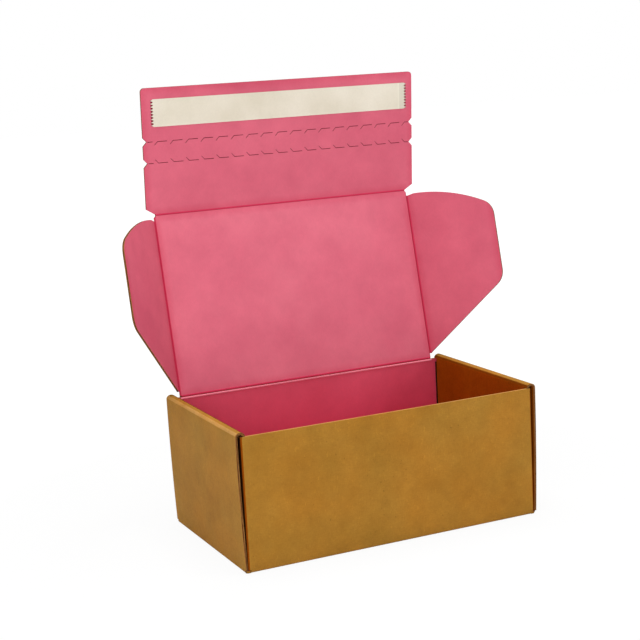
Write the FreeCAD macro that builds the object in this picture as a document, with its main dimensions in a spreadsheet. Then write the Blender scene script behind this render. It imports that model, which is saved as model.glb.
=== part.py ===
import FreeCAD, Part
import Sketcher
import math
import os

# A long mailer box of thin corrugated board, standing open.
# Frame: +Z up, floor's underside at Z 0, X along the box, front wall towards -Y.
# Each panel that turns is drawn flat in the frame of its own crease, with the crease line through
# the middle of the board, and is then turned to the angle that it has in the open box.

os.makedirs("parts", exist_ok=True)
doc = FreeCAD.newDocument("mailer_box")

DRIVING = [
    ("box_length", 240.0, "over the outer end panels"),
    ("box_depth", 140.0, "over the front and back walls"),
    ("wall_height", 98.0, "front wall, floor underside to top edge"),
    ("board", 1.6, "thickness of the corrugated board"),
    ("layer_gap", 0.6, "air between the folded layers of an end wall"),
    ("bend_outer", 2.2, "outer radius of a square fold"),
    ("end_inset", 0.3, "end panels stop this short of the front and back faces"),
    ("arch_lift", 0.3, "start of the rolled rim above the wall's top edge"),
    ("inner_short", 4.0, "inner end panel's ends short of the outside faces"),
    ("corner_reach", 60.0, "length of a corner flap past its fold"),
    ("fold_start", 2.4, "corner folds begin this far above the underside"),
    ("floor_gap", 0.2, "inner end panel above the floor"),
    ("tab_length", 28.0, "locking tab along the end wall"),
    ("tab_near", 20.0, "locking tab's near end from the middle"),
    ("tab_tip", 0.1, "locking tab's tip above the floor's underside"),
    ("slot_gap", 0.4, "room round a locking tab in its slot"),
    ("lid_gap", 0.3, "closed lid above the front wall"),
    ("crease_gap", 0.2, "slit beside a crease's round edge"),
    ("front_room", 1.0, "front flap outside the front wall when closed"),
    ("side_inset", 2.5, "side creases inboard of the inner end panels"),
    ("side_reach", 73.0, "side flap from its crease to its outer edge"),
    ("side_start", 3.4, "side flap's hinge end from the hinge"),
    ("side_slant", 52.0, "the side flap's slanted end takes up this much of its crease side"),
    ("slant_round", 14.0, "corner between the slanted end and the outer edge"),
    ("sweep_round", 14.0, "corner between the outer edge and the front end"),
    ("sweep_room", 0.7, "side flap's front end swings this far inside the front wall"),
    ("heel", 6.0, "height of the side flap's clipped heel at the front end"),
    ("crease_stop", 1.0, "a side crease's round edge ends this far before the heel"),
    ("relief_back", 0.95, "the lid panel's inner edge is pressed back this far at a side crease"),
    ("relief_rise", 0.25, "that pressed edge begins this far above the middle of the board"),
    ("lid_clip", 1.5, "clipped corner at the lid panel's front edge"),
    ("flap_length", 97.0, "front flap from its crease to its edge"),
    ("flap_round", 3.0, "corner at the front flap's free edge"),
    ("flap_side", 3.7, "front flap's ends inside the box's ends"),
    ("shoulder", 4.5, "front flap reaches its full width this far from its crease"),
    ("lower_line", 39.8, "first tear line from the crease"),
    ("upper_line", 56.2, "second tear line from the crease"),
    ("notch_deep", 3.0, "starter notch in the flap's ends"),
    ("notch_half", 3.2, "half the starter notch's mouth"),
    ("first_cut", 6.0, "straight cut from the starter notch to the first repeat"),
    ("cut_bridge", 2.1, "uncut board between one cut and the next"),
    ("cut_tail", 2.7, "slanted tail of one cut, along and across"),
    ("slit", 0.5, "width of a cut"),
    ("tape_width", 18.0, "adhesive strip"),
    ("tape_thick", 0.15, "adhesive strip"),
    ("tape_in", 2.2, "adhesive strip's ends inside the liner's"),
    ("liner_width", 21.0, "release liner"),
    ("liner_thick", 0.12, "release liner"),
    ("liner_high", 8.6, "liner's far edge from the flap's free edge"),
    ("liner_left", 7.3, "liner's left end from the flap's left end"),
    ("liner_right", 5.2, "liner's right end from the flap's right end"),
    ("tooth", 2.0, "depth of the liner's pinked ends"),
    ("lid_open", 103.0, "lid's angle from closed, degrees"),
    ("side_fold", 52.0, "side flaps' angle from the lid's plane, degrees"),
    ("front_fold", 17.0, "front flap's angle from the lid's plane, degrees"),
]
TEETH = 9
CUTS = 18

sheet = doc.addObject("Spreadsheet::Sheet", "Sizes")
NUMBER = {}
for row, (alias, number, note) in enumerate(DRIVING, start=1):
    sheet.set("A%d" % row, alias)
    sheet.set("B%d" % row, repr(number))
    sheet.set("C%d" % row, note)
    sheet.setAlias("B%d" % row, alias)
    NUMBER[alias] = number
doc.recompute()


class Size:
    """A number together with the sheet expression that gives it."""

    def __init__(self, value, text):
        self.value = value
        self.text = text

    @staticmethod
    def of(other):
        if isinstance(other, Size):
            return other
        return Size(float(other), repr(float(other)))

    def __add__(self, other):
        other = Size.of(other)
        return Size(self.value + other.value, "(%s + %s)" % (self.text, other.text))

    def __sub__(self, other):
        other = Size.of(other)
        return Size(self.value - other.value, "(%s - %s)" % (self.text, other.text))

    def __rsub__(self, other):
        return Size.of(other) - self

    def __mul__(self, factor):
        factor = Size.of(factor)
        return Size(self.value * factor.value, "(%s * %s)" % (self.text, factor.text))

    def __truediv__(self, factor):
        factor = Size.of(factor)
        return Size(self.value / factor.value, "(%s / %s)" % (self.text, factor.text))

    def __neg__(self):
        return self * -1.0

    def root(self):
        return Size(math.sqrt(self.value), "sqrt(%s)" % self.text)


def cell(alias):
    return Size(NUMBER[alias], "Sizes." + alias)


T = cell("board")
HALF_T = T / 2
HALF_L = cell("box_length") / 2
HALF_W = cell("box_depth") / 2
WALL = cell("wall_height")
BEND = cell("bend_outer")
BEND_IN = BEND - T
GAP = cell("layer_gap")
END_THICK = T * 3 + GAP * 2
RIM_Z = WALL + cell("arch_lift")
RIM_OUT = END_THICK / 2
RIM_IN = RIM_OUT - T
CREASE_EDGE = HALF_T + cell("crease_gap")
HINGE_Y = HALF_W - HALF_T
HINGE_Z = WALL + cell("lid_gap") + HALF_T
BACK_WALL = HINGE_Z - CREASE_EDGE
INNER_FACE = HALF_L - END_THICK
SIDE_CREASE = INNER_FACE - cell("side_inset")
FRONT_CREASE_Y = HALF_W + cell("front_room") + HALF_T
LID_REACH = HINGE_Y + FRONT_CREASE_Y
FLAP_HALF = HALF_L - cell("flap_side")


def plane(body, role):
    for feature in body.Origin.OriginFeatures:
        if feature.Role == role:
            return feature
    raise ValueError(role)


def sketch_on(body, role, name):
    sketch = body.newObject("Sketcher::SketchObject", name)
    sketch.AttachmentSupport = (plane(body, role), "")
    sketch.MapMode = "FlatFace"
    return sketch


def fix_along(sketch, kind, geometry, end, size):
    if abs(size.value) < 1e-9:
        axis = -2 if kind == "DistanceX" else -1
        sketch.addConstraint(Sketcher.Constraint("PointOnObject", geometry, end, axis))
        return
    index = sketch.addConstraint(
        Sketcher.Constraint(kind, -1, 1, geometry, end, size.value))
    sketch.setExpression("Constraints[%d]" % index, size.text)


def fix_point(sketch, geometry, end, x, y):
    fix_along(sketch, "DistanceX", geometry, end, x)
    fix_along(sketch, "DistanceY", geometry, end, y)


def loop(sketch, corners):
    """Closed outline. Each corner is (x, y) or (x, y, radius, turn): the arc runs to the next one."""
    points = []
    for corner in corners:
        points.append((Size.of(corner[0]), Size.of(corner[1])))
    count = len(points)
    edges = []
    for index, corner in enumerate(corners):
        x0, y0 = points[index]
        x1, y1 = points[(index + 1) % count]
        start = FreeCAD.Vector(x0.value, y0.value, 0)
        finish = FreeCAD.Vector(x1.value, y1.value, 0)
        if len(corner) == 2:
            edges.append((sketch.addGeometry(Part.LineSegment(start, finish), False), 1, 2))
            continue
        radius = Size.of(corner[2])
        half = (finish - start) * 0.5
        rise = math.sqrt(max(radius.value ** 2 - half.Length ** 2, 0.0))
        side = FreeCAD.Vector(-half.y, half.x, 0)
        side.normalize()
        centre = start + half + side * (rise * corner[3])
        a0 = math.atan2(start.y - centre.y, start.x - centre.x)
        a1 = math.atan2(finish.y - centre.y, finish.x - centre.x)
        circle = Part.Circle(centre, FreeCAD.Vector(0, 0, 1), radius.value)
        if corner[3] > 0:
            arc = Part.ArcOfCircle(circle, a0, a1)
            edges.append((sketch.addGeometry(arc, False), 1, 2))
        else:
            arc = Part.ArcOfCircle(circle, a1, a0)
            edges.append((sketch.addGeometry(arc, False), 2, 1))
    for index, (edge, start_end, finish_end) in enumerate(edges):
        following, next_start, _ = edges[(index + 1) % count]
        sketch.addConstraint(
            Sketcher.Constraint("Coincident", edge, finish_end, following, next_start))
        fix_point(sketch, edge, start_end, *points[index])
        if len(corners[index]) > 2:
            radius = Size.of(corners[index][2])
            here = points[index]
            there = points[(index + 1) % count]
            across = there[0].value - here[0].value
            along = there[1].value - here[1].value
            if abs(math.hypot(across, along) - 2 * radius.value) > 1e-6:
                number = sketch.addConstraint(Sketcher.Constraint("Radius", edge, radius.value))
                sketch.setExpression("Constraints[%d]" % number, radius.text)
            elif abs(across) > abs(along):
                fix_along(sketch, "DistanceY", edge, 3, (here[1] + there[1]) / 2)
            else:
                fix_along(sketch, "DistanceX", edge, 3, (here[0] + there[0]) / 2)


def mirrored(corners):
    """The same outline on the other side of the sketch's upright axis."""
    flipped = []
    count = len(corners)
    for index in range(count, 0, -1):
        x, y = corners[index % count][:2]
        arc = corners[index - 1][2:]
        if arc:
            arc = (arc[0], arc[1])
        flipped.append((-Size.of(x), y) + tuple(arc))
    return flipped


def pad(body, sketch, name, length, symmetric=False, reverse=False):
    feature = body.newObject("PartDesign::Pad", name)
    feature.Profile = sketch
    length = Size.of(length)
    feature.Length = length.value
    feature.setExpression("Length", length.text)
    if symmetric:
        feature.SideType = "Symmetric"
    feature.Reversed = reverse
    sketch.Visibility = False
    return feature


def pocket(body, sketch, name):
    feature = body.newObject("PartDesign::Pocket", name)
    feature.Profile = sketch
    feature.Type = "ThroughAll"
    feature.SideType = "Symmetric"
    sketch.Visibility = False
    return feature


def raise_sketch(sketch, height):
    height = Size.of(height)
    sketch.AttachmentOffset = FreeCAD.Placement(
        FreeCAD.Vector(0, 0, height.value), FreeCAD.Rotation())
    sketch.setExpression("AttachmentOffset.Base.z", height.text)


def new_body(name):
    body = doc.addObject("PartDesign::Body", name)
    body.Label = name
    return body


def rectangle(x0, x1, y0, y1):
    return [(x0, y0), (x1, y0), (x1, y1), (x0, y1)]


# The tray: floor, four walls, corner flaps and rolled end walls, all one folded sheet.
tray = new_body("tray")

wrap = sketch_on(tray, "YZ_Plane", "wall_wrap_outline")
loop(wrap, [
    (-HALF_W, WALL),
    (-HALF_W, BEND, BEND, 1),
    (-HALF_W + BEND, 0),
    (HALF_W - BEND, 0, BEND, 1),
    (HALF_W, BEND),
    (HALF_W, BACK_WALL),
    (HALF_W - T, BACK_WALL),
    (HALF_W - T, BEND, BEND_IN, -1),
    (HALF_W - BEND, T),
    (-HALF_W + BEND, T, BEND_IN, -1),
    (-HALF_W + T, BEND),
    (-HALF_W + T, WALL),
])
FLAP_FACE = HALF_L - T - GAP
WALL_HALF = FLAP_FACE - BEND
pad(tray, wrap, "front_floor_back", WALL_HALF * 2, symmetric=True)

ends = sketch_on(tray, "XZ_Plane", "end_wrap_outline")
loop(ends, [
    (-HALF_L, RIM_Z),
    (-HALF_L, BEND, BEND, 1),
    (-HALF_L + BEND, 0),
    (HALF_L - BEND, 0, BEND, 1),
    (HALF_L, BEND),
    (HALF_L, RIM_Z),
    (HALF_L - T, RIM_Z),
    (HALF_L - T, BEND, BEND_IN, -1),
    (HALF_L - BEND, T),
    (-HALF_L + BEND, T, BEND_IN, -1),
    (-HALF_L + T, BEND),
    (-HALF_L + T, RIM_Z),
])
pad(tray, ends, "outer_end_panels", (HALF_W - BEND) * 2, symmetric=True)

rims = sketch_on(tray, "XZ_Plane", "rolled_rims_outline")
RIM = [
    (HALF_L - T, cell("fold_start")),
    (HALF_L, cell("fold_start")),
    (HALF_L, RIM_Z, RIM_OUT, 1),
    (INNER_FACE, RIM_Z),
    (INNER_FACE + T, RIM_Z, RIM_IN, -1),
    (HALF_L - T, RIM_Z),
]
loop(rims, RIM)
loop(rims, mirrored(RIM))
pad(tray, rims, "rolled_rims", (HALF_W - cell("end_inset")) * 2, symmetric=True)

slots = sketch_on(tray, "XY_Plane", "slot_outline")
tabs = sketch_on(tray, "XY_Plane", "tab_outline")
TAB_FROM = cell("tab_near")
TAB_TO = TAB_FROM + cell("tab_length")
ROOM = cell("slot_gap")
for side in (1.0, -1.0):
    for end in (1.0, -1.0):
        near = INNER_FACE * side
        far = (INNER_FACE + T) * side
        loop(slots, rectangle(near - ROOM * side, far + ROOM * side,
                              (TAB_FROM - ROOM) * end, (TAB_TO + ROOM) * end))
        loop(tabs, rectangle(near, far, TAB_FROM * end, TAB_TO * end))
pocket(tray, slots, "floor_slots")
TAB_TIP = cell("tab_tip")
raise_sketch(tabs, TAB_TIP)

panels = sketch_on(tray, "XZ_Plane", "inner_panel_outline")
for side in (1.0, -1.0):
    loop(panels, rectangle(INNER_FACE * side, (INNER_FACE + T) * side,
                           T + cell("floor_gap"), RIM_Z))
pad(tray, panels, "inner_end_panels", (HALF_W - cell("inner_short")) * 2, symmetric=True)
pad(tray, tabs, "locking_tabs", T + cell("floor_gap"))

corners = sketch_on(tray, "XY_Plane", "corner_flap_outline")
raise_sketch(corners, cell("fold_start"))
FOLD_Y = HALF_W - BEND
FLAP_END = FOLD_Y - cell("corner_reach")
CORNER = [
    (WALL_HALF, -HALF_W, BEND, 1),
    (FLAP_FACE, -FOLD_Y),
    (FLAP_FACE, -FLAP_END),
    (FLAP_FACE - T, -FLAP_END),
    (FLAP_FACE - T, -FOLD_Y, BEND_IN, -1),
    (WALL_HALF, -HALF_W + T),
]
BACK_CORNER = [
    (WALL_HALF, HALF_W, BEND, -1),
    (FLAP_FACE, FOLD_Y),
    (FLAP_FACE, FLAP_END),
    (FLAP_FACE - T, FLAP_END),
    (FLAP_FACE - T, FOLD_Y, BEND_IN, 1),
    (WALL_HALF, HALF_W - T),
]
for outline in (CORNER, BACK_CORNER):
    loop(corners, outline)
    loop(corners, mirrored(outline))
pad(tray, corners, "corner_flaps", WALL - cell("fold_start"))


# The lid panel, drawn closed about its hinge crease: X along the crease, -Y towards the front.
lid_panel = new_body("lid_panel")
LID_HALF = SIDE_CREASE - CREASE_EDGE
panel = sketch_on(lid_panel, "XY_Plane", "lid_outline")
CLIP = cell("lid_clip")
LID_EDGE = -(LID_REACH - CREASE_EDGE)
loop(panel, [
    (-LID_HALF, 0),
    (-LID_HALF, LID_EDGE + CLIP),
    (-LID_HALF + CLIP, LID_EDGE),
    (LID_HALF - CLIP, LID_EDGE),
    (LID_HALF, LID_EDGE + CLIP),
    (LID_HALF, 0),
])
pad(lid_panel, panel, "lid_board", T, symmetric=True)
bead = sketch_on(lid_panel, "YZ_Plane", "hinge_edge_outline")
loop(bead, [(0, HALF_T, HALF_T, -1), (0, -HALF_T)])
pad(lid_panel, bead, "hinge_edge", LID_HALF * 2, symmetric=True)
# The side creases are pressed in from the inside, so the flaps can fold in past square.
relief = sketch_on(lid_panel, "XZ_Plane", "crease_relief_outline")
OVER = Size.of(0.05)
RELIEF = [
    (LID_HALF + OVER, cell("relief_rise")),
    (LID_HALF, cell("relief_rise")),
    (LID_HALF - cell("relief_back"), -HALF_T - OVER),
    (LID_HALF + OVER, -HALF_T - OVER),
]
loop(relief, RELIEF)
loop(relief, mirrored(RELIEF))
pocket(lid_panel, relief, "side_crease_relief")


# The lid's side flaps, drawn flat: X away from the crease, -Y from the hinge end to the front.
# The front end is struck about the hinge, so it swings down just inside the front wall.
REACH_OUT = cell("side_reach")
START = cell("side_start")
SLOPE = REACH_OUT / cell("side_slant")
SWEEP = HINGE_Y + HALF_W - T - cell("sweep_room")
SWEEP_ROUND = cell("sweep_round")
SLANT = (SLOPE * SLOPE + 1.0).root()
TANGENT = cell("slant_round") * ((SLANT - 1.0) / SLOPE)
SLANT_END = START + cell("side_slant")
HEEL = cell("heel")
ROUND_X = REACH_OUT - SWEEP_ROUND
ROUND_Y = ((SWEEP - SWEEP_ROUND) * (SWEEP - SWEEP_ROUND) - ROUND_X * ROUND_X).root()
OUTWARD = SWEEP / (SWEEP - SWEEP_ROUND)
HEEL_Y = (SWEEP * SWEEP - HEEL * HEEL).root()
CREASE_END = HEEL_Y - cell("crease_stop")


def side_flap(name, side):
    body = new_body(name)
    outline = sketch_on(body, "XY_Plane", name + "_outline")
    shape = [
        (0, -START),
        (0, -CREASE_END),
        (HEEL, -HEEL_Y, SWEEP, 1),
        (ROUND_X * OUTWARD, -(ROUND_Y * OUTWARD), SWEEP_ROUND, 1),
        (REACH_OUT, -ROUND_Y),
        (REACH_OUT, -(SLANT_END + TANGENT), cell("slant_round"), 1),
        (REACH_OUT - TANGENT * (SLOPE / SLANT), -(SLANT_END - TANGENT / SLANT)),
    ]
    if side > 0:
        loop(outline, shape)
    else:
        loop(outline, mirrored(shape))
    pad(body, outline, name + "_board", T, symmetric=True)
    edge = sketch_on(body, "XZ_Plane", name + "_crease_outline")
    half_round = [(0, -HALF_T, HALF_T, -1), (0, HALF_T)]
    if side > 0:
        loop(edge, half_round)
    else:
        loop(edge, mirrored(half_round))
    raise_sketch(edge, START)
    pad(body, edge, name + "_crease_edge", CREASE_END - START)
    return body


left_lid_flap = side_flap("left_lid_flap", -1)
right_lid_flap = side_flap("right_lid_flap", 1)


# The front flap, drawn flat: X along its crease, -Y from the crease to the free edge.
front_flap = new_body("front_flap")
flap = sketch_on(front_flap, "XY_Plane", "front_flap_outline")
REACH = cell("flap_length")
CREASE_HALF = LID_HALF - CLIP
DEEP = cell("notch_deep")
MOUTH = cell("notch_half")
ROUND = cell("flap_round")
EDGE_X = FLAP_HALF
LOWER = cell("lower_line")
UPPER = cell("upper_line")
loop(flap, [
    (-CREASE_HALF, 0),
    (-EDGE_X, -cell("shoulder")),
    (-EDGE_X, -(LOWER - MOUTH)),
    (-EDGE_X + DEEP, -LOWER),
    (-EDGE_X, -(LOWER + MOUTH)),
    (-EDGE_X, -(UPPER - MOUTH)),
    (-EDGE_X + DEEP, -UPPER),
    (-EDGE_X, -(UPPER + MOUTH)),
    (-EDGE_X, -(REACH - ROUND), ROUND, 1),
    (-EDGE_X + ROUND, -REACH),
    (EDGE_X - ROUND, -REACH, ROUND, 1),
    (EDGE_X, -(REACH - ROUND)),
    (EDGE_X, -(UPPER + MOUTH)),
    (EDGE_X - DEEP, -UPPER),
    (EDGE_X, -(UPPER - MOUTH)),
    (EDGE_X, -(LOWER + MOUTH)),
    (EDGE_X - DEEP, -LOWER),
    (EDGE_X, -(LOWER - MOUTH)),
    (EDGE_X, -cell("shoulder")),
    (CREASE_HALF, 0),
])
pad(front_flap, flap, "front_flap_board", T, symmetric=True)
edge = sketch_on(front_flap, "YZ_Plane", "front_crease_outline")
loop(edge, [(0, HALF_T, HALF_T, -1), (0, -HALF_T)])
pad(front_flap, edge, "front_crease_edge", CREASE_HALF * 2, symmetric=True)

cuts = sketch_on(front_flap, "XY_Plane", "tear_cut_outline")
TAIL = cell("cut_tail")
SLIT = cell("slit")
PITCH = (EDGE_X - DEEP) * 2 / CUTS
FLAT = PITCH - TAIL - cell("cut_bridge")
X0 = -EDGE_X + DEEP + cell("first_cut")
for line, into in ((LOWER, -1.0), (UPPER, 1.0)):
    y = -line
    loop(cuts, [
        (X0, y + TAIL * into),
        (X0 + TAIL, y - SLIT * (into / 2)),
        (X0 + TAIL + FLAT, y - SLIT * (into / 2)),
        (X0 + TAIL + FLAT, y + SLIT * (into / 2)),
        (X0 + TAIL + SLIT * 0.3, y + SLIT * (into / 2)),
        (X0 + SLIT * 0.75, y + TAIL * into + SLIT * (into * 0.25)),
    ])
cut = pocket(front_flap, cuts, "tear_cut")
row = front_flap.newObject("PartDesign::LinearPattern", "tear_cuts")
row.Originals = [cut]
row.Direction = (plane(front_flap, "X_Axis"), [""])
row.Occurrences = CUTS
row.Length = PITCH.value * (CUTS - 1)
row.setExpression("Length", (PITCH * (CUTS - 1)).text)
front_flap.Tip = row
starts = sketch_on(front_flap, "XY_Plane", "first_cut_outline")
for line in (LOWER, UPPER):
    loop(starts, rectangle(-EDGE_X + DEEP - 0.4, X0 - 1.2, -(line + SLIT / 2), -(line - SLIT / 2)))
pocket(front_flap, starts, "first_cuts")


# Adhesive strip and its paper liner, on the inside of the front flap.
strip = doc.addObject("Part::Box", "adhesive_strip")
strip.Label = "adhesive_strip"
STRIP_IN = cell("tape_in")
LINER_X0 = -EDGE_X + cell("liner_left")
LINER_X1 = EDGE_X - cell("liner_right")
LINER_FAR = REACH - cell("liner_high")
LINER_NEAR = LINER_FAR - cell("liner_width")
for name, size in (("Length", LINER_X1 - LINER_X0 - STRIP_IN * 2),
                   ("Width", cell("tape_width")), ("Height", cell("tape_thick"))):
    strip.setExpression(name, size.text)
release_liner = new_body("release_liner")
liner = sketch_on(release_liner, "XY_Plane", "liner_outline")
loop(liner, rectangle(LINER_X0, LINER_X1, -LINER_FAR, -LINER_NEAR))
pad(release_liner, liner, "liner_paper", cell("liner_thick"))
teeth = sketch_on(release_liner, "XY_Plane", "tooth_outline")
STEP = cell("liner_width") / TEETH
for base, deep in ((LINER_X0, cell("tooth")), (LINER_X1, -cell("tooth"))):
    low = -LINER_FAR
    loop(teeth, [
        (base - deep * 0.5, low),
        (base + deep, low + STEP / 2),
        (base - deep * 0.5, low + STEP),
    ])
tooth = pocket(release_liner, teeth, "tooth_cut")
pinked = release_liner.newObject("PartDesign::LinearPattern", "pinked_ends")
pinked.Originals = [tooth]
pinked.Direction = (plane(release_liner, "Y_Axis"), [""])
pinked.Occurrences = TEETH
pinked.Length = STEP.value * (TEETH - 1)
pinked.setExpression("Length", (STEP * (TEETH - 1)).text)
release_liner.Tip = pinked


# Open each panel about its crease.
def turn(x, y, z, axis, degrees):
    point = FreeCAD.Vector(x, y, z)
    return FreeCAD.Placement(point, FreeCAD.Rotation(FreeCAD.Vector(*axis), degrees))


lid_place = turn(0, HINGE_Y.value, HINGE_Z.value, (1, 0, 0), -NUMBER["lid_open"])
lid_panel.Placement = lid_place
left_lid_flap.Placement = lid_place * turn(
    -SIDE_CREASE.value, 0, 0, (0, 1, 0), -NUMBER["side_fold"])
right_lid_flap.Placement = lid_place * turn(
    SIDE_CREASE.value, 0, 0, (0, 1, 0), NUMBER["side_fold"])
front_place = lid_place * turn(0, -LID_REACH.value, 0, (1, 0, 0), NUMBER["front_fold"])
front_flap.Placement = front_place
STRIP_LOW = LINER_FAR - (cell("liner_width") - cell("tape_width")) / 2
strip.Placement = front_place * turn(
    (LINER_X0 + STRIP_IN).value, -STRIP_LOW.value,
    -(HALF_T + cell("tape_thick")).value, (1, 0, 0), 0)
release_liner.Placement = front_place * turn(
    0, 0, -(HALF_T + cell("tape_thick") + cell("liner_thick")).value, (1, 0, 0), 0)

doc.recompute()
for item in doc.Objects:
    if "Invalid" in item.State or "Error" in item.State:
        raise RuntimeError("%s failed: %s" % (item.Label, item.State))

NODES = [tray, lid_panel, left_lid_flap, right_lid_flap, front_flap, strip, release_liner]
for node in NODES:
    shape = node.Shape
    if shape.isNull() or not shape.isValid() or len(shape.Solids) != 1:
        raise RuntimeError("%s has a bad shape" % node.Label)
for node in NODES:
    node.Shape.exportStep("parts/%s.step" % node.Label)
    box = node.Shape.BoundBox
    print("%-16s %9.1f mm3  x %.1f..%.1f  y %.1f..%.1f  z %.1f..%.1f" % (
        node.Label, node.Shape.Volume, box.XMin, box.XMax, box.YMin, box.YMax,
        box.ZMin, box.ZMax))
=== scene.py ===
import math

import bmesh
import bpy
from mathutils import Matrix, Vector
from mathutils.geometry import delaunay_2d_cdt


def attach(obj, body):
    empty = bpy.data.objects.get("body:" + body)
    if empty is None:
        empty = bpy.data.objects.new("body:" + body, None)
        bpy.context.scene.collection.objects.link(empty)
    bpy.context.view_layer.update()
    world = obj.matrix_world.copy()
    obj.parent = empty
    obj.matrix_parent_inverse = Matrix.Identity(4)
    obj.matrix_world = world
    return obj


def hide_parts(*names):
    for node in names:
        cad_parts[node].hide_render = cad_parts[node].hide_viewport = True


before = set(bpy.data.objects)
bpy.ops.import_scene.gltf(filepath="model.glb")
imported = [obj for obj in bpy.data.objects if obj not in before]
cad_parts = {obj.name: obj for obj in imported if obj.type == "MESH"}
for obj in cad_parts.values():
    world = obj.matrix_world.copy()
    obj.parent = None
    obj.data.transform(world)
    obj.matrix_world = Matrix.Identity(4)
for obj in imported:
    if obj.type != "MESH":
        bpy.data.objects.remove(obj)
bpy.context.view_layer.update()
MM = 0.001
SAME = 1e-6

# Sizes of the box in millimetres, as in the solids: the tray.
HALF_L = 120.0
HALF_W = 70.0
WALL = 98.0
T = 1.6
GAP = 0.6
BEND = 2.2
MID = BEND - T / 2
ARCH_LIFT = 0.3
RIM_Z = WALL + ARCH_LIFT
END_THICK = 3 * T + 2 * GAP
END_INSET = 0.3
END_EDGE = HALF_W - END_INSET
INNER_SHORT = 4.0
INNER_EDGE = HALF_W - INNER_SHORT
INNER_FACE = HALF_L - END_THICK
FLAP_FACE = HALF_L - T - GAP
WALL_HALF = FLAP_FACE - BEND
FLOOR_X = HALF_L - BEND
FLOOR_Y = HALF_W - BEND
FOLD_START = 2.4
CORNER_REACH = 60.0
FLOOR_GAP = 0.2
TAB_TIP = 0.1
TAB_NEAR = 20.0
TAB_FAR = TAB_NEAR + 28.0
SLOT_GAP = 0.4
SLOT_NEAR = TAB_NEAR - SLOT_GAP
SLOT_FAR = TAB_FAR + SLOT_GAP
SLOT_IN = INNER_FACE - 0.1
SLOT_OUT = INNER_FACE + T + SLOT_GAP

# The lid and its flaps.
LID_GAP = 0.3
CREASE_EDGE = 1.0
FRONT_ROOM = 1.0
SIDE_INSET = 2.5
HINGE_Y = HALF_W - T / 2
HINGE_Z = WALL + LID_GAP + T / 2
BACK_WALL = HINGE_Z - CREASE_EDGE
SIDE_CREASE = INNER_FACE - SIDE_INSET
LID_REACH = HINGE_Y + HALF_W + FRONT_ROOM + T / 2
LID_HALF = SIDE_CREASE - CREASE_EDGE
LID_CLIP = 1.5
SIDE_REACH = 73.0
FLAP_SIDE = 3.7
FLAP_HALF = HALF_L - FLAP_SIDE
FLAP_LONG = 97.0
LID_OPEN = math.radians(103.0)
SIDE_FOLD = math.radians(52.0)
FRONT_FOLD = math.radians(17.0)

# Shapes of the folds that only the picture has.
PRESS = 0.95
PRESS_TOP = 0.25
BEAD = 0.99
COVER_UNDER = 1.03
COVER_TOP = 1.13
COVER_START = 1.02
COVER_ARC = (52.0, 70.0, 90.0, 105.0, 118.0)
BOW = 0.5
LEAN_FOOT = -0.55
LEAN_MORE = 1.95
FOLD_IN = 0.35
RIDGE = 0.85
MESH_STEP = 6.0

# The kinds of faces on a board, and the place in a panel that plain strips are coloured like.
OUT, IN, EDGE_LINES, EDGE_WAVE, DARK_SHADE, PAINTED_SHADE, RIDGE_HIGHLIGHT, HIGHLIGHT, GAP_SHADE, SHADED, CREASE_SHADED = range(11)
MID_PANEL = (36.0, 60.0)

# Materials
WHITE = (1.0, 1.0, 1.0)
FLUTE_PITCH = 3.2
FLUTE_DRIFT = 41.0
HALO = 6.0
HALO_TINT = (0.95, 0.70, 0.78)


class Graph:
    """A small helper for building one material's nodes."""

    def __init__(self, name):
        self.material = bpy.data.materials.new(name)
        self.material.use_nodes = True
        self.tree = self.material.node_tree
        self.tree.nodes.clear()
        self.output = self.add("ShaderNodeOutputMaterial")
        self.shader = self.add("ShaderNodeBsdfPrincipled")
        self.link(self.shader.outputs[0], self.output.inputs[0])

    def add(self, kind, **settings):
        node = self.tree.nodes.new(kind)
        for key, value in settings.items():
            setattr(node, key, value)
        return node

    def link(self, source, target):
        self.tree.links.new(source, target)

    def mapped(self, scale, source="Object", rotation=(0.0, 0.0, 0.0)):
        coordinates = self.add("ShaderNodeTexCoord")
        mapping = self.add("ShaderNodeMapping")
        mapping.inputs["Scale"].default_value = scale
        mapping.inputs["Rotation"].default_value = rotation
        self.link(coordinates.outputs[source], mapping.inputs["Vector"])
        return mapping.outputs[0]

    def noise(self, vector, scale, detail=3.0, rough=0.5):
        node = self.add("ShaderNodeTexNoise")
        self.link(vector, node.inputs["Vector"])
        node.inputs["Scale"].default_value = scale
        node.inputs["Detail"].default_value = detail
        node.inputs["Roughness"].default_value = rough
        return node.outputs["Fac"]

    def ramp(self, value, stops):
        node = self.add("ShaderNodeValToRGB")
        ramp = node.color_ramp
        while len(ramp.elements) < len(stops):
            ramp.elements.new(0.5)
        for element, (place, colour) in zip(ramp.elements, stops):
            element.position = place
            element.color = (*colour, 1.0) if len(colour) == 3 else colour
        self.link(value, node.inputs["Fac"])
        return node.outputs["Color"]

    def grey(self, value, low, high, dark, light):
        return self.ramp(value, [(low, (dark,) * 3), (high, (light,) * 3)])

    def mix(self, kind, factor, a, b):
        node = self.add("ShaderNodeMix", data_type="RGBA", blend_type=kind)
        for socket, value in ((0, factor), (6, a), (7, b)):
            if isinstance(value, (int, float)):
                node.inputs[socket].default_value = value
            elif isinstance(value, tuple):
                node.inputs[socket].default_value = (*value, 1.0)
            else:
                self.link(value, node.inputs[socket])
        return node.outputs[2]

    def math(self, operation, a, b=0.0):
        node = self.add("ShaderNodeMath", operation=operation)
        for socket, value in ((0, a), (1, b)):
            if isinstance(value, (int, float)):
                node.inputs[socket].default_value = value
            else:
                self.link(value, node.inputs[socket])
        return node.outputs[0]

    def bump(self, height, strength, distance):
        node = self.add("ShaderNodeBump")
        node.inputs["Strength"].default_value = strength
        node.inputs["Distance"].default_value = distance
        self.link(height, node.inputs["Height"])
        self.link(node.outputs[0], self.shader.inputs["Normal"])


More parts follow.
